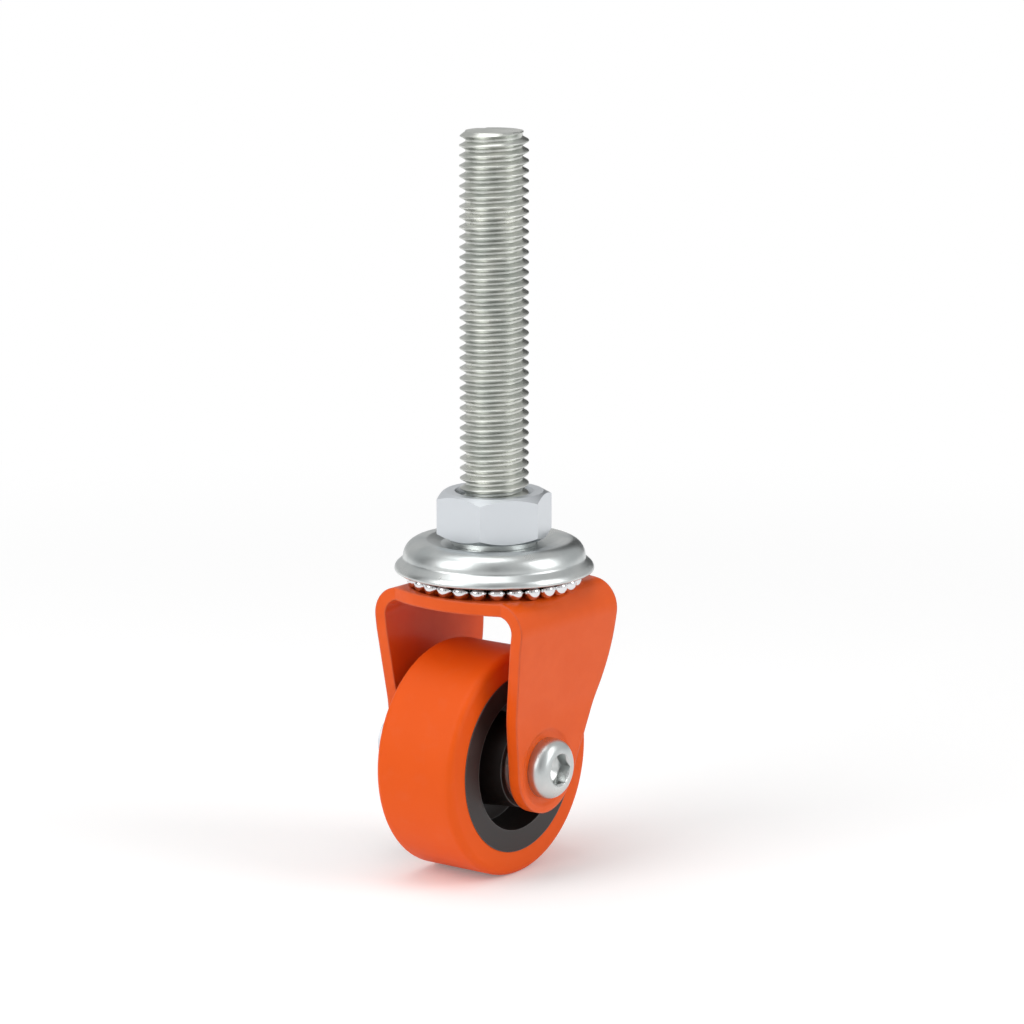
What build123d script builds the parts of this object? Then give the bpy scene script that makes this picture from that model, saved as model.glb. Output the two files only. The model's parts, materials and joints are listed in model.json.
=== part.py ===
from build123d import *
import math
import os

# Levelling castor: a long M12 stem with a lock nut, a single-race swivel head,
# a folded steel fork and a 40 mm tyred wheel on two ball bearings.
# The origin is on the stem's axis, in the plane of the seated lock nut's top face.
# +Z runs up the stem, the axle lies along Y and the wheel trails towards -X.

# Stem, king pin and lock nut
stem_length = 62.5
stem_radius = 6.0
stem_chamfer = 1.0
runout_radius = 4.925
collar_radius = 7.5
collar_height = 1.1
pin_radius = 4.0
tenon_radius = 3.3
rivet_radius = 5.4
rivet_height = 1.5
nut_flats = 18.0
nut_height = 8.2
nut_turn = 23.0
nut_face_ratio = 0.95
nut_chamfer_angle = 30.0
nut_countersink = 0.85

# Swivel head
cap_sheet = 1.0
cap_floor_radius = 9.4
cap_crest_radius = 12.0
cap_crest_rise = 0.8
cap_wall_radius = 15.9
cap_shoulder_radius = 3.0
cap_wall_drop = 2.7
cap_rim_radius = 17.43
cap_rim_height = 0.7
cap_height = 4.7
race_sheet = 1.6
race_radius = 15.3
race_dish_radius = 10.4
race_height = 3.9
race_gap = 2.2
race_ball_radius = 1.5
race_ball_circle = 13.9
race_ball_count = 28
thrust_washer_radius = 10.0
thrust_washer_sheet = 0.5
retaining_washer_radius = 8.5
retaining_washer_sheet = 0.8

# Fork
fork_sheet = 2.2
fork_shoulder_half = 16.4
fork_foot_half = 14.0
fork_bend_radius = 5.0
leg_set_drop = 20.8
leg_set_radius = 25.0
plate_rear = 16.0
plate_front = 16.2
leg_rear = 13.4
leg_rear_drop = 7.8
leg_front = 14.6
leg_front_drop = 12.3
leg_front_blend = 30.0
plate_corner_drop = 4.8
foot_radius = 8.0
seat_radius = 6.3
seat_depth = 0.25
seat_slope = 0.6

# Wheel, axle and bearings
axle_trail = 3.54
axle_drop = 30.3
wheel_radius = 20.0
wheel_width = 16.4
tread_shoulder = 1.4
tread_thickness = 4.25
hub_width = 16.6
hub_rim_wall = 3.85
hub_web = 4.0
hub_draft = 0.7
hub_key_rise = 1.2
hub_key_width = 6.0
boss_radius = 7.6
boss_width = 19.6
bolt_radius = 3.0
bolt_length = 35.0
bolt_head_radius = 5.3
bolt_head_height = 3.2
bolt_head_rim = 0.95
bolt_crown_radius = 3.3
bolt_socket_flats = 5.0
bolt_socket_depth = 2.2
bolt_point_angle = 118.0
bolt_end_chamfer = 0.8
axle_nut_flats = 10.0
axle_nut_height = 6.0
axle_nut_hexagon = 4.6
axle_nut_collar_radius = 4.5
insert_height = 1.6
insert_radius = 3.9
bearing_radius = 6.5
bearing_width = 5.0
bearing_ring = 1.1
bearing_inset = 0.2
bearing_ball_radius = 1.0
bearing_ball_count = 9
cage_back = 0.4
cage_height = 1.9
shield_sheet = 0.25
shield_rebate = 0.3
spacer_radius = 4.3
hub_bore_ledge = 1.0

# Fits
nut_clearance = 0.05
ball_clearance = 0.05
swivel_clearance = 0.05
washer_clearance = 0.03
bearing_clearance = 0.03
shaft_clearance = 0.02
bolt_hole_clearance = 0.1
shield_clearance = 0.1
cage_clearance = 0.12

# Heights down the king pin, worked out from the sizes above
seat_height = -nut_height
cap_top = seat_height - collar_height
cap_underside = cap_top - cap_sheet
race_underside = cap_underside - race_height
plate_top = race_underside - race_gap
ball_height = race_underside - race_gap / 2
groove_radius = race_ball_radius + ball_clearance
plate_bottom = plate_top - fork_sheet
thrust_top = plate_bottom - washer_clearance
tenon_top = thrust_top - thrust_washer_sheet
rivet_top = tenon_top - retaining_washer_sheet

# Places across the axle, measured from the wheel's middle
hub_radius = wheel_radius - tread_thickness
hub_rim_inner = hub_radius - hub_rim_wall
axle_height = plate_top - axle_drop
leg_inside = fork_foot_half - fork_sheet
bolt_seat = fork_foot_half - seat_depth
bearing_out = boss_width / 2 - bearing_inset
bearing_in = bearing_out - bearing_width
bearing_middle = (bearing_out + bearing_in) / 2
inner_ring_radius = bolt_radius + bearing_ring
outer_ring_bore = bearing_radius - bearing_ring
ball_circle = (inner_ring_radius + outer_ring_bore) / 2
shaft_bore = bolt_radius + shaft_clearance


def save(shape, node):
    """Write one node's solids to its STEP file."""
    export_step(shape, f"parts/{node}.step")


def turned(points):
    """Turn a closed outline of (radius, height) points about Z."""
    outline = Polyline(*[(radius, 0, height) for radius, height in points], close=True)
    return revolve(make_face(outline), Axis.Z)


def turned_sheet(points, bends, sheet):
    """Turn sheet metal whose mid-line runs through (radius, height) points with bend radii."""
    mid_line = FilletPolyline(*[(radius, height) for radius, height in points], radius=bends)
    return revolve(Plane.XZ * trace(mid_line, sheet), Axis.Z)


def tube(outer, inner, low, high):
    """A straight ring about Z between two heights."""
    return turned([(inner, low), (outer, low), (outer, high), (inner, high)])


def prism(flats, low, high, turn=0.0):
    """A hexagonal prism about Z, given across its flats."""
    hexagon = RegularPolygon(flats / 2, 6, major_radius=False, rotation=turn)
    return extrude(Pos(0, 0, low) * hexagon, high - low)


def chamfered_hexagon(flats, height, turn=0.0, both_ends=True):
    """A hexagon standing on Z = 0 with its corners turned off by cones."""
    face = flats / 2 * nut_face_ratio
    corner = flats / math.sqrt(3)
    drop = (corner - face) * math.tan(math.radians(nut_chamfer_angle))
    foot = drop if both_ends else 0
    foot_face = face if both_ends else corner
    blank = turned([
        (0, 0),
        (foot_face, 0),
        (corner, foot),
        (corner, height - drop),
        (face, height),
        (0, height),
    ])
    return prism(flats, 0, height, turn) & blank


def along_axle(shape, side=1):
    """Lay a shape made about Z along the axle, with its Z pointing to one side of the wheel."""
    return Pos(-axle_trail, 0, axle_height) * Rot(-90 * side, 0, 0) * shape


def ball_ring(radius, circle, count, height):
    """Balls spaced evenly on a circle about Z."""
    ball = Sphere(radius)
    return [location * ball for location in Pos(0, 0, height) * PolarLocations(circle, count)]


# Stem and lock nut

def make_stem():
    """Stem, run-out groove, collar, king pin and peened end, turned in one piece."""
    neck = stem_radius - runout_radius
    peen = rivet_height / 2
    return turned([
        (0, stem_length),
        (stem_radius - stem_chamfer, stem_length),
        (stem_radius, stem_length - stem_chamfer),
        (stem_radius, 0),
        (runout_radius, -neck),
        (runout_radius, seat_height),
        (collar_radius, seat_height),
        (collar_radius, cap_top),
        (pin_radius, cap_top),
        (pin_radius, tenon_top),
        (tenon_radius, tenon_top),
        (tenon_radius, rivet_top),
        (rivet_radius, rivet_top),
        (rivet_radius - peen, rivet_top - peen),
        (rivet_radius - rivet_height, rivet_top - rivet_height),
        (0, rivet_top - rivet_height),
    ])


def make_lock_nut():
    """Lock nut seated on the stem's collar."""
    bore = stem_radius + nut_clearance
    mouth = bore + nut_countersink
    hole = turned([
        (0, 0),
        (mouth, 0),
        (bore, nut_countersink),
        (bore, nut_height - nut_countersink),
        (mouth, nut_height),
        (0, nut_height),
    ])
    return Pos(0, 0, seat_height) * (chamfered_hexagon(nut_flats, nut_height, nut_turn) - hole)


# Swivel head

def make_cap():
    """Pressed cap: dished floor, round shoulder and a skirt that flares to a rounded rim."""
    half = cap_sheet / 2
    floor = cap_top - half
    crest = floor + cap_crest_rise
    wall = cap_wall_radius - half
    rim = cap_rim_radius - half
    foot = cap_top - cap_height
    shoulder_bend = cap_shoulder_radius - half
    sheet = turned_sheet(
        [
            (pin_radius, floor),
            (cap_floor_radius, floor),
            (cap_crest_radius, crest),
            (wall, crest),
            (wall, cap_top - cap_wall_drop),
            (rim, foot + cap_rim_height),
            (rim, foot),
        ],
        [cap_sheet, cap_sheet, shoulder_bend, cap_sheet, cap_sheet],
        cap_sheet,
    )
    rim_edges = sheet.edges().group_by(Axis.Z)[0]
    return fillet(rim_edges, half * 0.9)


def race_groove():
    """The round track that the race balls run in."""
    return Pos(0, 0, ball_height) * Torus(race_ball_circle, groove_radius)


def make_race():
    """Hardened race pressed in the cap: a clamped flange, a cone and the grooved track."""
    half = race_sheet / 2
    top = cap_underside - half
    track = race_underside + half
    dish = turned_sheet(
        [
            (pin_radius, top),
            (race_dish_radius - race_height / 2, top),
            (race_dish_radius, track),
            (race_radius, track),
        ],
        [race_sheet, race_sheet],
        race_sheet,
    )
    return dish - race_groove()


def make_thrust_washer():
    """Thin washer that the fork's plate bears up from."""
    return tube(thrust_washer_radius, pin_radius + swivel_clearance, tenon_top, thrust_top)


def make_retaining_washer():
    """Steel washer riveted against the king pin's shoulder."""
    return tube(retaining_washer_radius, tenon_radius, rivet_top, tenon_top)


# Fork

def fork_section():
    """Folded sheet seen along X, long enough to be cut to outline."""
    half = fork_sheet / 2
    set_height = plate_top - leg_set_drop
    foot = axle_height - 2 * foot_radius
    shoulder = fork_shoulder_half - half
    leg = fork_foot_half - half
    mid_height = plate_top - half
    bend = fork_bend_radius - half
    mid_line = FilletPolyline(
        (-leg, foot),
        (-leg, set_height),
        (-shoulder, mid_height),
        (shoulder, mid_height),
        (leg, set_height),
        (leg, foot),
        radius=[leg_set_radius, bend, bend, leg_set_radius],
    )
    reach = 2 * max(plate_rear, plate_front)
    return extrude(Plane.YZ * trace(mid_line, fork_sheet), reach, both=True)


def plan_outline():
    """Fork seen from above: front and rear edges bow outwards between the bends."""
    side = fork_shoulder_half + fork_sheet
    bow = fork_shoulder_half - fork_bend_radius
    foot = axle_height - 2 * foot_radius
    edges = [
        Line((-leg_rear, -side), (-leg_rear, -bow)),
        ThreePointArc((-leg_rear, -bow), (-plate_rear, 0), (-leg_rear, bow)),
        Line((-leg_rear, bow), (-leg_rear, side)),
        Line((-leg_rear, side), (leg_front, side)),
        Line((leg_front, side), (leg_front, bow)),
        ThreePointArc((leg_front, bow), (plate_front, 0), (leg_front, -bow)),
        Line((leg_front, -bow), (leg_front, -side)),
        Line((leg_front, -side), (-leg_rear, -side)),
    ]
    return extrude(Pos(0, 0, foot) * make_face(Curve() + edges), plate_top - foot)


def foot_touch(knee, turn):
    """Where a straight edge from a knee touches the round foot, turning one way round it."""
    across = knee[0] + axle_trail
    up = knee[1] - axle_height
    heading = math.atan2(up, across) + turn * math.acos(foot_radius / math.hypot(across, up))
    return (
        foot_radius * math.cos(heading) - axle_trail,
        foot_radius * math.sin(heading) + axle_height,
    )


def side_outline():
    """Fork seen along Y: broad plate, tapering legs and round feet about the axle."""
    side = fork_shoulder_half + fork_sheet
    rear_knee = (-leg_rear, plate_top - leg_rear_drop)
    front_knee = (leg_front, plate_top - leg_front_drop)
    brow = plate_top - plate_corner_drop
    rear_touch = foot_touch(rear_knee, 1)
    front_touch = foot_touch(front_knee, -1)
    sole = (-axle_trail, axle_height - foot_radius)
    edges = [
        Line(front_touch, front_knee),
        Line(front_knee, (leg_front, plate_top)),
        Line((leg_front, plate_top), (-leg_rear, plate_top)),
        Line((-leg_rear, plate_top), rear_knee),
        Line(rear_knee, rear_touch),
        ThreePointArc(rear_touch, sole, front_touch),
    ]
    leg = make_face(Curve() + edges)
    knee = leg.vertices().sort_by_distance(front_knee)[0]
    leg = fillet(knee, leg_front_blend)
    brow_width = 2 * (plate_rear + plate_front)
    head = Pos(0, (plate_top + brow) / 2) * Rectangle(brow_width, plate_top - brow)
    return extrude(Plane.XZ * (leg + head), side, both=True)


def make_fork():
    """Folded fork with its king-pin hole, ball track, axle holes and bolt seats."""
    fork = fork_section() & plan_outline() & side_outline()
    fork -= race_groove()
    pin_hole = pin_radius + swivel_clearance
    fork -= tube_cutter(pin_hole, plate_bottom, plate_top)
    axle_hole = bolt_radius + bolt_hole_clearance
    reach = fork_shoulder_half + fork_sheet
    fork -= along_axle(tube_cutter(axle_hole, -reach, reach))
    for side in (-1, 1):
        fork -= along_axle(seat_cutter(), side)
    return fork


def tube_cutter(radius, low, high):
    """A cylinder about Z between two heights."""
    return turned([(0, low), (radius, low), (radius, high), (0, high)])


def seat_cutter():
    """Shallow round seat with a sloping wall, cut in the outside of a leg."""
    rise = 2 * seat_depth
    return turned([
        (0, bolt_seat),
        (seat_radius, bolt_seat),
        (seat_radius + rise * seat_slope / seat_depth, bolt_seat + rise),
        (0, bolt_seat + rise),
    ])


# Axle bolt and nut

def make_bolt():
    """Button-head bolt with a hexagon socket that ends in a drilled cone."""
    seat = bolt_seat
    crown = seat + bolt_head_height
    rim = seat + bolt_head_rim
    swell = (bolt_head_height - bolt_head_rim) / math.sqrt(2)
    dome_middle = (
        bolt_crown_radius + (bolt_head_radius - bolt_crown_radius) / math.sqrt(2),
        rim + swell,
    )
    edges = [
        Line((0, seat), (bolt_head_radius, seat)),
        Line((bolt_head_radius, seat), (bolt_head_radius, rim)),
        ThreePointArc((bolt_head_radius, rim), dome_middle, (bolt_crown_radius, crown)),
        Line((bolt_crown_radius, crown), (0, crown)),
        Line((0, crown), (0, seat)),
    ]
    head = revolve(Plane.XZ * make_face(Curve() + edges), Axis.Z)
    end = seat - bolt_length
    shank = turned([
        (0, end),
        (bolt_radius - bolt_end_chamfer, end),
        (bolt_radius, end + bolt_end_chamfer),
        (bolt_radius, seat),
        (0, seat),
    ])
    return along_axle(head + shank - bolt_socket(crown), -1)


def bolt_socket(crown):
    """Hexagon socket, its chamfered mouth and the drilled point at its bottom."""
    bottom = crown - bolt_socket_depth
    drill = bolt_socket_flats / 2
    corner = bolt_socket_flats / math.sqrt(3)
    point = drill / math.tan(math.radians(bolt_point_angle / 2))
    cone = turned([(0, bottom), (drill, bottom), (0, bottom - point)])
    mouth = turned([(0, crown), (corner, crown), (0, crown - corner)])
    return prism(bolt_socket_flats, bottom, crown) + cone + mouth


def make_axle_nut():
    """Lock nut: hexagon with a round collar and the pocket that holds its insert."""
    pocket = axle_nut_height - insert_height
    nut = chamfered_hexagon(axle_nut_flats, axle_nut_hexagon)
    nut += tube_cutter(axle_nut_collar_radius, 0, axle_nut_height)
    nut -= tube_cutter(shaft_bore, 0, pocket)
    nut -= tube_cutter(insert_radius, pocket, axle_nut_height)
    return along_axle(Pos(0, 0, bolt_seat) * nut)


def make_insert():
    """Nylon ring in the lock nut's collar."""
    top = bolt_seat + axle_nut_height
    return along_axle(tube(insert_radius, shaft_bore, top - insert_height, top))


# Bearings, spacers and wheel

def ball_track():
    """The groove that the bearing balls leave in both rings."""
    return Pos(0, 0, bearing_middle) * Torus(ball_circle, bearing_ball_radius + bearing_clearance)


def make_inner_ring(side):
    """Inner ring with its ball track."""
    ring = tube(inner_ring_radius, shaft_bore, bearing_in, bearing_out)
    return along_axle(ring - ball_track(), side)


def make_outer_ring(side):
    """Outer ring with its ball track and a rebate for a shield at each end."""
    ring = tube(bearing_radius, outer_ring_bore, bearing_in, bearing_out) - ball_track()
    rebate = outer_ring_bore + shield_rebate
    ring -= tube_cutter(rebate, bearing_out - shield_sheet, bearing_out)
    ring -= tube_cutter(rebate, bearing_in, bearing_in + shield_sheet)
    return along_axle(ring, side)


def make_shields(side):
    """The pair of flat shields held in the outer ring's rebates."""
    outer = outer_ring_bore + shield_rebate
    inner = inner_ring_radius + shield_clearance
    front = tube(outer, inner, bearing_out - shield_sheet, bearing_out)
    back = tube(outer, inner, bearing_in, bearing_in + shield_sheet)
    return along_axle(Compound(children=[front, back]), side)


def make_bearing_balls(side):
    """One row of bearing balls."""
    balls = ball_ring(bearing_ball_radius, ball_circle, bearing_ball_count, bearing_middle)
    return along_axle(Compound(children=balls), side)


def make_cage(side):
    """Crown cage whose pockets open towards the middle of the wheel."""
    back = bearing_middle + bearing_ball_radius + cage_back
    inner = inner_ring_radius + cage_clearance
    outer = outer_ring_bore - cage_clearance
    crown = tube(outer, inner, back - cage_height, back)
    pocket = bearing_ball_radius + bearing_clearance
    for ball in ball_ring(pocket, ball_circle, bearing_ball_count, bearing_middle):
        crown -= ball
    return along_axle(crown, side)


def make_spacer(side):
    """Spacer between a leg and the bearing's inner ring."""
    return along_axle(tube(spacer_radius, shaft_bore, bearing_out, leg_inside), side)


def make_bearing_spacer():
    """Tube that keeps the two inner rings apart."""
    return along_axle(tube(inner_ring_radius, shaft_bore, -bearing_in, bearing_in))


def make_hub():
    """Moulded hub: rim with a key for the tread, thin web and a boss for the bearings."""
    rim = hub_width / 2
    web = hub_web / 2
    boss = boss_width / 2
    key = hub_key_width / 2
    half_profile = [
        (0, boss),
        (boss_radius, boss),
        (boss_radius + hub_draft, web),
        (hub_rim_inner - hub_draft, web),
        (hub_rim_inner, rim),
        (hub_radius, rim),
        (hub_radius, key),
        (hub_radius + hub_key_rise, key),
    ]
    mirrored = [(radius, -height) for radius, height in reversed(half_profile)]
    hub = turned(half_profile + mirrored)
    hub -= tube_cutter(bearing_radius - hub_bore_ledge, -boss, boss)
    hub -= tube_cutter(bearing_radius, bearing_in, boss)
    hub -= tube_cutter(bearing_radius, -boss, -bearing_in)
    return along_axle(hub)


def make_tread():
    """Tyre moulded round the hub's rim and key, with rounded shoulders."""
    half = wheel_width / 2
    key = hub_key_width / 2
    tread = tube(wheel_radius, hub_radius, -half, half)
    tread = fillet(tread.edges().filter_by(GeomType.CIRCLE).group_by(SortBy.RADIUS)[-1], tread_shoulder)
    tread -= tube_cutter(hub_radius + hub_key_rise, -key, key)
    return along_axle(tread)


def build_nodes():
    """Every node's name with its shape."""
    race_balls = ball_ring(race_ball_radius, race_ball_circle, race_ball_count, ball_height)
    nodes = {
        "threaded_stem": make_stem(),
        "lock_nut": make_lock_nut(),
        "swivel_cap": make_cap(),
        "swivel_race": make_race(),
        "race_balls": Compound(children=race_balls),
        "thrust_washer": make_thrust_washer(),
        "retaining_washer": make_retaining_washer(),
        "fork": make_fork(),
        "axle_bolt": make_bolt(),
        "axle_lock_nut": make_axle_nut(),
        "axle_nut_insert": make_insert(),
        "bearing_spacer": make_bearing_spacer(),
        "wheel_hub": make_hub(),
        "wheel_tread": make_tread(),
    }
    for name, side in (("head_side", -1), ("nut_side", 1)):
        nodes[f"{name}_spacer"] = make_spacer(side)
        nodes[f"{name}_inner_ring"] = make_inner_ring(side)
        nodes[f"{name}_outer_ring"] = make_outer_ring(side)
        nodes[f"{name}_bearing_balls"] = make_bearing_balls(side)
        nodes[f"{name}_cage"] = make_cage(side)
        nodes[f"{name}_shields"] = make_shields(side)
    return nodes


os.makedirs("parts", exist_ok=True)
for node, shape in build_nodes().items():
    save(shape, node)
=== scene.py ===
"""Dresses the levelling castor: a rolled M12 thread, the king pin and the finishes of every piece."""
import json
import logging
import math
from dataclasses import dataclass, field
from enum import Enum

import bpy
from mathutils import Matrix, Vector


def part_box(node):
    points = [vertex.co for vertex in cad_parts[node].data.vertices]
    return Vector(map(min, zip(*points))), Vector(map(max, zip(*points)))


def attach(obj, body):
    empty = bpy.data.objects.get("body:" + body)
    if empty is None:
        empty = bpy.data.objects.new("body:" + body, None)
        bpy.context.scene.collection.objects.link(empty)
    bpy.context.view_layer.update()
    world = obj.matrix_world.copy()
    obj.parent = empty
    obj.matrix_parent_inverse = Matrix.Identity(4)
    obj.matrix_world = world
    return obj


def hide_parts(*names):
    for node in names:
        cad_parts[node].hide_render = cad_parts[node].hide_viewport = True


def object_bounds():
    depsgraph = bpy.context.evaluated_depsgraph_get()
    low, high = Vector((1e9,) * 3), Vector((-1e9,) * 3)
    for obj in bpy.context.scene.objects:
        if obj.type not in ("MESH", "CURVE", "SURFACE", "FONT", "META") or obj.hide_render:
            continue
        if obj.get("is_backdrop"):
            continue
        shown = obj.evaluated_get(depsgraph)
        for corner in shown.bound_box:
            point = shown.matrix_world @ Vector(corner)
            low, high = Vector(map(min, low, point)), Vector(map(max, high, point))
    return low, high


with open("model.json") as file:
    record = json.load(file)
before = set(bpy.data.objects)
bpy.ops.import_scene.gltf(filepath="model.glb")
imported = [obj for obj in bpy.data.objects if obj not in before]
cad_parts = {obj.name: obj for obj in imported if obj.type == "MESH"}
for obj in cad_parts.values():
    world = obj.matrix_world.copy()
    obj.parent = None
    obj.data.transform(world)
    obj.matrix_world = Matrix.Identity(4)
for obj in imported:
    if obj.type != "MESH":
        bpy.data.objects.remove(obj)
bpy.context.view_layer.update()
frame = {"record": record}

MM = 0.001
log = logging.getLogger("castor")


class Body(Enum):
    """The castor's moving bodies that carry new pieces."""

    STEM = "stem"


@dataclass(frozen=True)
class Finish:
    """One surface finish, with lengths in metres."""

    name: str
    colour: tuple[float, float, float]
    shade: tuple[float, float, float]
    metallic: float
    roughness: float
    roughness_spread: float = 0.08
    grain: float = 900.0
    grain_depth: float = 0.00002
    stretch: tuple[float, float, float] = (1.0, 1.0, 1.0)
    edge_radius: float = 0.0002
    # edge_light: strength of the painted highlight on edges.
    edge_light: float = 0.0
    dust: float = 0.0
    coat: float = 0.0
    specular: float = 0.5
    coat_roughness: float = 0.12


# The edge_light of each finish paints a highlight on its edges.
ZINC = Finish("zinc_plate", (0.64, 0.66, 0.65), (0.50, 0.53, 0.53), 1.0, 0.26, 0.10, 700.0, 0.00001,
              edge_radius=0.00025, edge_light=0.25)
NUT_ZINC = Finish("nut_zinc", (0.31, 0.36, 0.40), (0.22, 0.26, 0.30), 1.0, 0.30, 0.14, 420.0, 0.00003,
                  edge_radius=0.0003, edge_light=0.4)
THREAD_ZINC = Finish("thread_zinc", (0.66, 0.67, 0.63), (0.50, 0.52, 0.49), 1.0, 0.27, 0.10, 800.0,
                     0.00001, edge_radius=0.00008, edge_light=0.2)
# Race steel coloured near black: painted shade of the hollow under the cap.
RACE_IN_PAINTED_SHADE = Finish("race_painted_shade", (0.12, 0.11, 0.10), (0.05, 0.045, 0.04), 0.8, 0.35, 0.15)
# Ball steel coloured near black: painted shade of the narrow gap under the cap rim.
BALL_IN_PAINTED_SHADE = Finish("ball_steel", (0.055, 0.045, 0.04), (0.03, 0.024, 0.02), 0.7, 0.30, 0.08, grain_depth=0.0)
PAINT = Finish("orange_powder_coat", (0.90, 0.112, 0.004), (0.87, 0.104, 0.003), 0.0, 0.40, 0.05, 1100.0,
               0.00003, edge_radius=0.0006, edge_light=0.06, coat=0.12, coat_roughness=0.14, specular=0.28)
TYRE = Finish("orange_tyre", (0.88, 0.108, 0.004), (0.86, 0.102, 0.003), 0.0, 0.50, 0.04, 350.0, 0.00003,
              edge_radius=0.0004, dust=0.01, specular=0.22)
HUB = Finish("black_nylon", (0.009, 0.006, 0.005), (0.018, 0.012, 0.011), 0.0, 0.34, 0.10, 600.0, 0.00002,
             edge_radius=0.0003, edge_light=0.15)
CAGE = Finish("cage_nylon", (0.16, 0.12, 0.07), (0.12, 0.09, 0.05), 0.0, 0.5)
INSERT = Finish("insert_nylon", (0.05, 0.12, 0.32), (0.04, 0.10, 0.27), 0.0, 0.45)

FINISH_OF_SLOT = {
    "stem_zinc": THREAD_ZINC, "nut_zinc": NUT_ZINC, "cap_zinc": ZINC, "race_steel": RACE_IN_PAINTED_SHADE,
    "ball_steel": BALL_IN_PAINTED_SHADE, "washer_steel": ZINC, "fork_paint": PAINT, "bolt_zinc": ZINC,
    "axle_nut_zinc": NUT_ZINC, "insert_nylon": INSERT, "bearing_steel": ZINC, "cage_nylon": CAGE,
    "shield_steel": ZINC, "spacer_steel": ZINC, "hub_black": HUB, "tread_orange": TYRE,
}


def grain_group() -> bpy.types.NodeTree:
    """Build the shared surface group: mottled colour, roughness, bump height, a painted highlight on edges and dust.

    Returns:
        The node group, with named inputs and outputs.
    """
    name = "surface_grain"
    if name in bpy.data.node_groups:
        return bpy.data.node_groups[name]
    tree = bpy.data.node_groups.new(name, "ShaderNodeTree")
    face = tree.interface
    for label, kind in (("Vector", "NodeSocketVector"), ("Colour", "NodeSocketColor"),
                        ("Shade", "NodeSocketColor"), ("Scale", "NodeSocketFloat"),
                        ("Roughness", "NodeSocketFloat"), ("Spread", "NodeSocketFloat"),
                        ("Edge Radius", "NodeSocketFloat"), ("Edge Light", "NodeSocketFloat"),
                        ("Dust", "NodeSocketFloat")):
        face.new_socket(label, in_out="INPUT", socket_type=kind)
    for label, kind in (("Colour", "NodeSocketColor"), ("Roughness", "NodeSocketFloat"),
                        ("Height", "NodeSocketFloat")):
        face.new_socket(label, in_out="OUTPUT", socket_type=kind)
    node, link = tree.nodes.new, tree.links.new
    entry, leave = node("NodeGroupInput"), node("NodeGroupOutput")

    broad = node("ShaderNodeTexNoise")
    broad.inputs["Detail"].default_value = 5.0
    fine = node("ShaderNodeTexNoise")
    fine.inputs["Detail"].default_value = 3.0
    shrink = node("ShaderNodeMath")
    shrink.operation = "MULTIPLY"
    shrink.inputs[1].default_value = 0.22
    link(entry.outputs["Scale"], shrink.inputs[0])
    link(shrink.outputs[0], broad.inputs["Scale"])
    link(entry.outputs["Scale"], fine.inputs["Scale"])
    for noise in (broad, fine):
        link(entry.outputs["Vector"], noise.inputs["Vector"])

    spread = node("ShaderNodeMapRange")
    spread.inputs["From Min"].default_value = 0.35
    spread.inputs["From Max"].default_value = 0.65
    link(broad.outputs["Fac"], spread.inputs["Value"])
    mottled = node("ShaderNodeMix")
    mottled.data_type = "RGBA"
    link(spread.outputs["Result"], mottled.inputs[0])
    link(entry.outputs["Colour"], mottled.inputs[6])
    link(entry.outputs["Shade"], mottled.inputs[7])

    # Painted highlight: edges found by the bevel normal are lightened towards near white by Edge Light.
    bevel = node("ShaderNodeBevel")
    bevel.samples = 4
    link(entry.outputs["Edge Radius"], bevel.inputs["Radius"])
    plain = node("ShaderNodeNewGeometry")
    facing = node("ShaderNodeVectorMath")
    facing.operation = "DOT_PRODUCT"
    link(bevel.outputs["Normal"], facing.inputs[0])
    link(plain.outputs["Normal"], facing.inputs[1])
    edge = node("ShaderNodeMapRange")
    edge.inputs["From Min"].default_value = 0.99
    edge.inputs["From Max"].default_value = 0.80
    link(facing.outputs["Value"], edge.inputs["Value"])
    painted_edge_highlight = node("ShaderNodeMath")
    painted_edge_highlight.operation = "MULTIPLY"
    link(edge.outputs["Result"], painted_edge_highlight.inputs[0])
    link(entry.outputs["Edge Light"], painted_edge_highlight.inputs[1])
    with_painted_edge_highlight = node("ShaderNodeMix")
    with_painted_edge_highlight.data_type = "RGBA"
    with_painted_edge_highlight.inputs[7].default_value = (0.95, 0.95, 0.93, 1.0)
    link(painted_edge_highlight.outputs[0], with_painted_edge_highlight.inputs[0])
    link(mottled.outputs[2], with_painted_edge_highlight.inputs[6])

    speck = node("ShaderNodeMapRange")
    speck.inputs["From Min"].default_value = 0.55
    speck.inputs["From Max"].default_value = 0.75
    link(fine.outputs["Fac"], speck.inputs["Value"])
    dusty = node("ShaderNodeMath")
    dusty.operation = "MULTIPLY"
    link(speck.outputs["Result"], dusty.inputs[0])
    link(entry.outputs["Dust"], dusty.inputs[1])
    dusted = node("ShaderNodeMix")
    dusted.data_type = "RGBA"
    dusted.inputs[7].default_value = (0.75, 0.70, 0.66, 1.0)
    link(dusty.outputs[0], dusted.inputs[0])
    link(with_painted_edge_highlight.outputs[2], dusted.inputs[6])
    link(dusted.outputs[2], leave.inputs["Colour"])

    rough = node("ShaderNodeMath")
    rough.operation = "MULTIPLY_ADD"
    link(spread.outputs["Result"], rough.inputs[0])
    link(entry.outputs["Spread"], rough.inputs[1])
    link(entry.outputs["Roughness"], rough.inputs[2])
    link(rough.outputs[0], leave.inputs["Roughness"])
    link(fine.outputs["Fac"], leave.inputs["Height"])
    return tree


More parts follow.
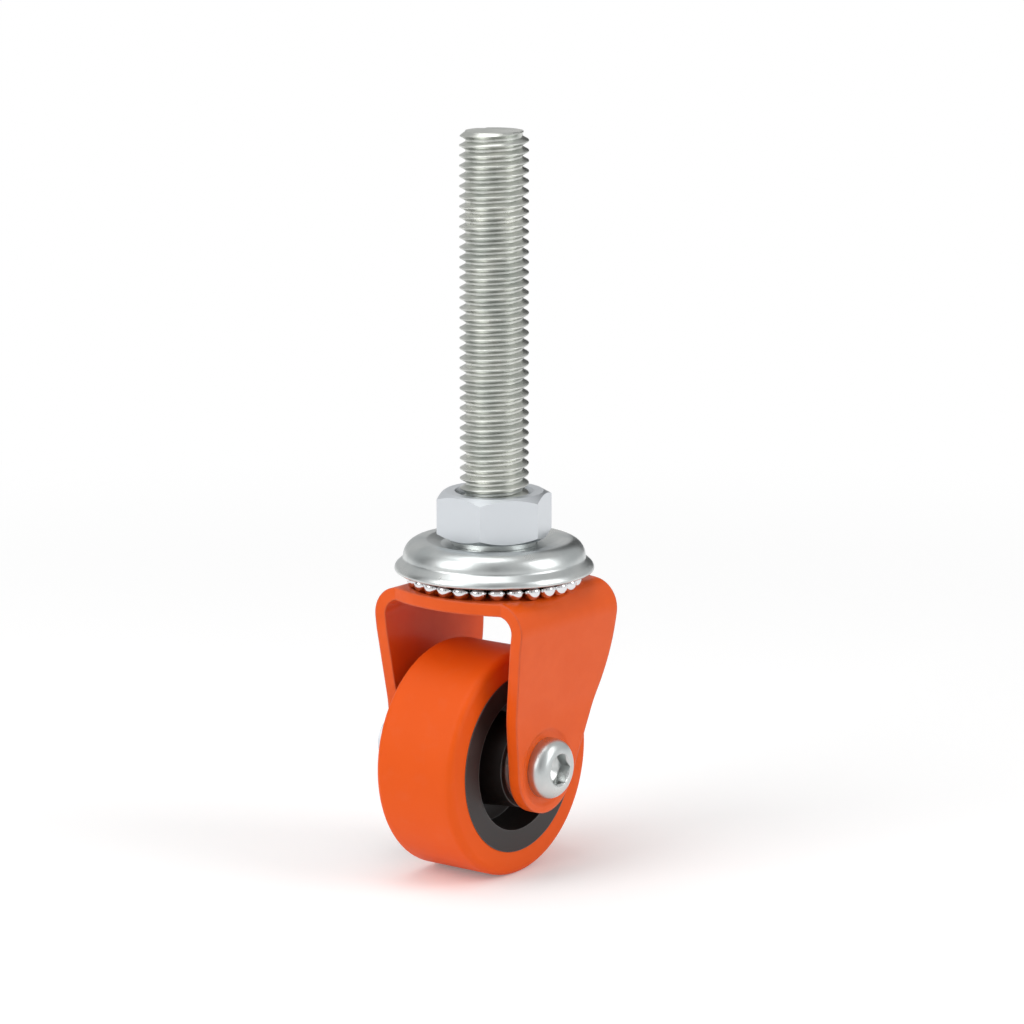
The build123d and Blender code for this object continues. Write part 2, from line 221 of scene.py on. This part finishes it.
def material(finish: Finish) -> bpy.types.Material:
    """Make, or find, the node material of a finish.

    Args:
        finish: The finish to build.

    Returns:
        The material.
    """
    if finish.name in bpy.data.materials:
        return bpy.data.materials[finish.name]
    made = bpy.data.materials.new(finish.name)
    made.use_nodes = True
    nodes, link = made.node_tree.nodes, made.node_tree.links.new
    shader = nodes["Principled BSDF"]
    shader.inputs["Metallic"].default_value = finish.metallic
    shader.inputs["Specular IOR Level"].default_value = finish.specular
    shader.inputs["Coat Weight"].default_value = finish.coat
    shader.inputs["Coat Roughness"].default_value = finish.coat_roughness
    place = nodes.new("ShaderNodeTexCoord")
    mapping = nodes.new("ShaderNodeMapping")
    mapping.inputs["Scale"].default_value = finish.stretch
    link(place.outputs["Object"], mapping.inputs["Vector"])
    grain = nodes.new("ShaderNodeGroup")
    grain.node_tree = grain_group()
    values = {
        "Colour": (*finish.colour, 1.0), "Shade": (*finish.shade, 1.0), "Scale": finish.grain,
        "Roughness": finish.roughness, "Spread": finish.roughness_spread,
        "Edge Radius": finish.edge_radius, "Edge Light": finish.edge_light, "Dust": finish.dust,
    }
    for label, value in values.items():
        grain.inputs[label].default_value = value
    link(mapping.outputs["Vector"], grain.inputs["Vector"])
    link(grain.outputs["Colour"], shader.inputs["Base Color"])
    link(grain.outputs["Roughness"], shader.inputs["Roughness"])
    soft_edge = nodes.new("ShaderNodeBevel")
    soft_edge.samples = 6
    soft_edge.inputs["Radius"].default_value = finish.edge_radius
    bump = nodes.new("ShaderNodeBump")
    bump.inputs["Distance"].default_value = finish.grain_depth
    bump.inputs["Strength"].default_value = 0.6
    link(grain.outputs["Height"], bump.inputs["Height"])
    link(soft_edge.outputs["Normal"], bump.inputs["Normal"])
    link(bump.outputs["Normal"], shader.inputs["Normal"])
    return made


def begin_edit(piece: bpy.types.Object) -> None:
    """Select one piece alone and enter edit mode on it.

    Args:
        piece: The piece to edit.
    """
    bpy.ops.object.select_all(action="DESELECT")
    piece.select_set(True)
    bpy.context.view_layer.objects.active = piece
    bpy.ops.object.mode_set(mode="EDIT")
    bpy.ops.mesh.select_all(action="SELECT")


def end_edit(angle: float = 35.0) -> None:
    """Merge doubles, turn the faces outwards and leave edit mode with smoothed faces.

    Args:
        angle: Edges that turn less than this, in degrees, are smoothed.
    """
    bpy.ops.mesh.select_all(action="SELECT")
    bpy.ops.mesh.remove_doubles(threshold=0.000002)
    bpy.ops.mesh.normals_make_consistent(inside=False)
    bpy.ops.object.mode_set(mode="OBJECT")
    bpy.ops.object.shade_smooth_by_angle(angle=math.radians(angle))


def outline(name: str, points: list[tuple[float, float]]) -> bpy.types.Object:
    """Draw an open outline in the XZ plane.

    Args:
        name: The new object's name.
        points: (radius, height) pairs in metres.

    Returns:
        The object, with edges only.
    """
    mesh = bpy.data.meshes.new(name)
    edges = [(i, i + 1) for i in range(len(points) - 1)]
    mesh.from_pydata([(radius, 0.0, height) for radius, height in points], edges, [])
    piece = bpy.data.objects.new(name, mesh)
    bpy.context.scene.collection.objects.link(piece)
    return piece


@dataclass
class RolledStem:
    """The M12 stem with its rolled right-hand thread, from the lock nut's seat to its tip."""

    pitch: float = 1.75 * MM
    crest: float = 5.99 * MM
    thread_depth: float = 1.07 * MM
    tip_chamfer: float = 1.0 * MM
    steps: int = 64
    body: Body = Body.STEM
    low: float = field(default_factory=lambda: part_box("lock_nut")[0][2])
    high: float = field(default_factory=lambda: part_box("threaded_stem")[1][2])

    def ridge(self) -> list[tuple[float, float]]:
        """Outline of one turn of the thread: root, flank, crest, flank."""
        root = self.crest - self.thread_depth
        start = self.low - self.pitch
        rounded = self.pitch / 24
        return [
            (root, start),
            (root, start + self.pitch * 0.20),
            (self.crest - rounded, start + self.pitch * 0.51),
            (self.crest, start + self.pitch * 0.56),
            (self.crest, start + self.pitch * 0.64),
            (self.crest - rounded, start + self.pitch * 0.69),
            (root, start + self.pitch),
        ]

    def build(self) -> bpy.types.Object:
        """Wind the thread, cut it square at both ends and chamfer its tip."""
        piece = outline("rolled_thread", self.ridge())
        begin_edit(piece)
        bpy.ops.object.mode_set(mode="OBJECT")
        screw = piece.modifiers.new("thread", "SCREW")
        screw.axis = "Z"
        screw.angle = math.tau
        screw.screw_offset = self.pitch
        screw.iterations = math.ceil((self.high - self.low) / self.pitch) + 3
        screw.steps = self.steps
        screw.render_steps = self.steps
        screw.use_merge_vertices = True
        screw.merge_threshold = 0.000001
        bpy.ops.object.modifier_apply(modifier=screw.name)
        begin_edit(piece)
        bpy.ops.mesh.remove_doubles(threshold=0.000002)
        bpy.ops.mesh.bisect(
            plane_co=(0, 0, self.high), plane_no=(0, 0, 1), use_fill=True, clear_outer=True
        )
        bpy.ops.mesh.select_all(action="SELECT")
        bpy.ops.mesh.bisect(
            plane_co=(0, 0, self.low), plane_no=(0, 0, 1), use_fill=True, clear_inner=True
        )
        bpy.ops.object.mode_set(mode="OBJECT")
        for vertex in piece.data.vertices:
            allowed = self.crest - self.tip_chamfer + (self.high - vertex.co.z)
            vertex.co.z = min(max(vertex.co.z, self.low), self.high)
            radius = math.hypot(vertex.co.x, vertex.co.y)
            if radius > allowed:
                vertex.co.x *= allowed / radius
                vertex.co.y *= allowed / radius
        begin_edit(piece)
        end_edit(30.0)
        piece.data.materials.append(material(THREAD_ZINC))
        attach(piece, self.body.value)
        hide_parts("threaded_stem")
        return piece


@dataclass
class KingPin:
    """The stem's collar, its pin through the head and the peened end."""

    collar: float = 7.5 * MM
    pin: float = 4.0 * MM
    tenon: float = 3.3 * MM
    soft_edge: float = 0.15 * MM
    dome_steps: int = 8
    spin_steps: int = 64
    rivet: float = 5.4 * MM
    rivet_height: float = 1.5 * MM
    body: Body = Body.STEM
    top: float = field(default_factory=lambda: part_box("lock_nut")[0][2])
    collar_foot: float = field(default_factory=lambda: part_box("lock_nut")[0][2] - 1.1 * MM)
    tenon_top: float = field(default_factory=lambda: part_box("retaining_washer")[1][2])
    washer_foot: float = field(default_factory=lambda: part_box("retaining_washer")[0][2])
    foot: float = field(default_factory=lambda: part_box("threaded_stem")[0][2])

    def build(self) -> bpy.types.Object:
        """Turn the collar, the pin and a domed peened end."""
        points = [(0.0, self.top), (self.collar - self.soft_edge, self.top), (self.collar, self.top - self.soft_edge),
                  (self.collar, self.collar_foot), (self.pin, self.collar_foot),
                  (self.pin, self.tenon_top), (self.tenon, self.tenon_top),
                  (self.tenon, self.washer_foot), (self.rivet, self.washer_foot)]
        for step in range(1, self.dome_steps + 1):
            angle = step / self.dome_steps * math.pi / 2
            height = self.washer_foot - self.rivet_height * math.sin(angle)
            points.append((self.rivet * math.cos(angle), height))
        piece = outline("king_pin", points)
        begin_edit(piece)
        bpy.ops.mesh.spin(steps=self.spin_steps, angle=math.tau, center=(0, 0, 0), axis=(0, 0, 1))
        end_edit(35.0)
        piece.data.materials.append(material(ZINC))
        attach(piece, self.body.value)
        return piece


@dataclass
class Dressing:
    """The finishes of the carried-over pieces."""

    def build(self) -> None:
        """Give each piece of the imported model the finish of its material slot."""
        slots = {part["node"]: part["material_slot"] for part in frame["record"]["subparts"]}
        for node, slot in slots.items():
            piece = bpy.data.objects.get(node)
            if piece is None:
                continue
            finish = material(FINISH_OF_SLOT[slot])
            if not piece.material_slots:
                piece.data.materials.append(finish)
            for place in piece.material_slots:
                place.material = finish
            log.info("%s dressed as %s", node, finish.name)


@dataclass
class Studio:
    """Floor, soft lamps, dark flags and the camera."""

    camera_place: tuple[float, float, float] = (-0.5750, -0.4333, 0.1404)
    azimuth: float = 53.0
    turn: float = 0.244
    pitch: float = 11.33
    lens: float = 148.7
    floor_size: float = 6.0
    floor_lift: float = 0.16
    fade_start: float = 0.12
    fade_end: float = 0.40
    ambient: float = 0.42

    def plane(self, name: str, size: tuple[float, float], place: tuple[float, float, float]) -> bpy.types.Object:
        """Add a flat rectangle that faces the wheel."""
        bpy.ops.object.select_all(action="DESELECT")
        bpy.ops.mesh.primitive_plane_add(size=1.0, location=place)
        card = bpy.context.object
        card.name = name
        card.scale = (size[0], size[1], 1.0)
        card.rotation_euler = (Vector((0, 0, 0)) - Vector(place)).to_track_quat("Z", "Y").to_euler()
        card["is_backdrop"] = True
        return card

    def bright(self, name: str, colour: float) -> bpy.types.Material:
        """A floor that keeps its shadow and fades into the white surround away from the castor.

        Args:
            name: The material's name.
            colour: Grey level of the floor.

        Returns:
            The material.
        """
        made = bpy.data.materials.new(name)
        made.use_nodes = True
        nodes, link = made.node_tree.nodes, made.node_tree.links.new
        matt = nodes["Principled BSDF"]
        matt.inputs["Base Color"].default_value = (colour, colour, colour, 1.0)
        matt.inputs["Roughness"].default_value = 0.9
        matt.inputs["Specular IOR Level"].default_value = 0.0
        ray = nodes.new("ShaderNodeLightPath")
        seen = nodes.new("ShaderNodeMath")
        seen.operation = "MAXIMUM"
        seen_through = nodes.new("ShaderNodeMath")
        seen_through.operation = "MAXIMUM"
        link(ray.outputs["Is Camera Ray"], seen.inputs[0])
        link(ray.outputs["Is Glossy Ray"], seen.inputs[1])
        link(seen.outputs[0], seen_through.inputs[0])
        link(ray.outputs["Is Transmission Ray"], seen_through.inputs[1])
        lift = nodes.new("ShaderNodeMath")
        lift.operation = "MULTIPLY"
        lift.inputs[1].default_value = self.floor_lift
        link(seen_through.outputs[0], lift.inputs[0])
        glow = nodes.new("ShaderNodeEmission")
        link(lift.outputs[0], glow.inputs["Strength"])
        near = nodes.new("ShaderNodeAddShader")
        link(matt.outputs[0], near.inputs[0])
        link(glow.outputs[0], near.inputs[1])
        white = nodes.new("ShaderNodeEmission")
        link(seen_through.outputs[0], white.inputs["Strength"])
        place = nodes.new("ShaderNodeTexCoord")
        distance = nodes.new("ShaderNodeVectorMath")
        distance.operation = "LENGTH"
        link(place.outputs["Object"], distance.inputs[0])
        fade = nodes.new("ShaderNodeMapRange")
        fade.interpolation_type = "SMOOTHSTEP"
        fade.inputs["From Min"].default_value = self.fade_start
        fade.inputs["From Max"].default_value = self.fade_end
        link(distance.outputs["Value"], fade.inputs["Value"])
        blend = nodes.new("ShaderNodeMixShader")
        link(fade.outputs["Result"], blend.inputs["Fac"])
        link(near.outputs[0], blend.inputs[1])
        link(white.outputs[0], blend.inputs[2])
        link(blend.outputs[0], nodes["Material Output"].inputs["Surface"])
        return made

    def floor(self) -> None:
        """Lay the floor at the wheel's lowest point."""
        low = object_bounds()[0].z
        bpy.ops.object.select_all(action="DESELECT")
        bpy.ops.mesh.primitive_plane_add(size=self.floor_size, location=(0, 0, low))
        ground = bpy.context.object
        ground.name = "studio_floor"
        ground.data.materials.append(self.bright("floor_white", 0.92))
        ground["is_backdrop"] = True

    def world(self) -> None:
        """Even light for matt surfaces and a white surround to the eye and to mirrors."""
        world = bpy.data.worlds.new("studio")
        bpy.context.scene.world = world
        world.use_nodes = True
        nodes, link = world.node_tree.nodes, world.node_tree.links.new
        back = nodes["Background"]
        back.inputs["Color"].default_value = (1, 1, 1, 1)
        ray = nodes.new("ShaderNodeLightPath")
        seen = nodes.new("ShaderNodeMath")
        seen.operation = "MAXIMUM"
        link(ray.outputs["Is Camera Ray"], seen.inputs[0])
        link(ray.outputs["Is Transmission Ray"], seen.inputs[1])
        shown = nodes.new("ShaderNodeMath")
        shown.operation = "MAXIMUM"
        mirror = nodes.new("ShaderNodeMath")
        mirror.operation = "MULTIPLY"
        mirror.inputs[1].default_value = 0.62
        link(ray.outputs["Is Glossy Ray"], mirror.inputs[0])
        link(seen.outputs[0], shown.inputs[0])
        link(mirror.outputs[0], shown.inputs[1])
        level = nodes.new("ShaderNodeMath")
        level.operation = "MAXIMUM"
        level.inputs[1].default_value = self.ambient
        link(shown.outputs[0], level.inputs[0])
        link(level.outputs[0], back.inputs["Strength"])

    def lamp(self, name: str, place: tuple[float, float, float], size: tuple[float, float], watts: float) -> None:
        """Hang a soft rectangular lamp aimed at the castor."""
        data = bpy.data.lights.new(name, "AREA")
        data.shape = "RECTANGLE"
        data.size, data.size_y = size
        data.energy = watts
        lamp = bpy.data.objects.new(name, data)
        lamp.location = place
        lamp.rotation_euler = (-Vector(place)).to_track_quat("-Z", "Y").to_euler()
        bpy.context.scene.collection.objects.link(lamp)

    def camera(self) -> None:
        """Set the camera where it looks down at the castor from the wheel's front quarter."""
        way = math.radians(self.azimuth)
        ahead = Vector((math.sin(way), math.cos(way), 0.0))
        right = Vector((ahead.y, -ahead.x, 0.0))
        aim = (ahead + right * math.tan(math.radians(self.turn))).normalized()
        down = math.radians(self.pitch)
        look = aim * math.cos(down) + Vector((0, 0, -math.sin(down)))
        data = bpy.data.cameras.new("studio_camera")
        data.lens = self.lens
        data.sensor_width = 36.0
        camera = bpy.data.objects.new("studio_camera", data)
        camera.location = self.camera_place
        camera.rotation_euler = look.to_track_quat("-Z", "Y").to_euler()
        bpy.context.scene.collection.objects.link(camera)
        bpy.context.scene.camera = camera

    def dark_flags(self) -> None:
        """Stand dark cards beside the camera, so that bright metal has dark bands to mirror."""
        dark = bpy.data.materials.new("flag_dark")
        dark.use_nodes = True
        dark.node_tree.nodes["Principled BSDF"].inputs["Base Color"].default_value = (0.02, 0.02, 0.02, 1.0)
        for name, size, place in (("camera_flag", (0.16, 0.9), (-0.80, -0.62, 0.25)),
                                  ("far_flag", (0.30, 0.8), (0.75, 0.25, 0.20)),
                                  ("side_flag", (0.20, 0.8), (-0.35, 0.80, 0.20))):
            card = self.plane(name, size, place)
            card.data.materials.append(dark)
            card.visible_camera = False
            card.visible_shadow = False
            card.visible_diffuse = False

    def build(self) -> None:
        """Set up the whole studio."""
        self.floor()
        self.world()
        self.dark_flags()
        self.lamp("left_softbox", (-0.75, 0.25, 0.45), (0.6, 0.8), 3.6)
        self.lamp("right_softbox", (0.25, -0.80, 0.40), (0.5, 0.8), 3.0)
        self.lamp("top_softbox", (-0.15, 0.10, 0.95), (0.7, 0.7), 3.0)
        self.camera()
        bpy.context.scene.view_settings.view_transform = "Standard"


def main() -> None:
    """Build every new piece, dress the rest and set the studio."""
    logging.basicConfig(level=logging.INFO)
    for part in (RolledStem(), KingPin()):
        made = part.build()
        log.info("%s: %d faces", made.name, len(made.data.polygons))
    Dressing().build()
    Studio().build()


if __name__ == "__main__":
    main()
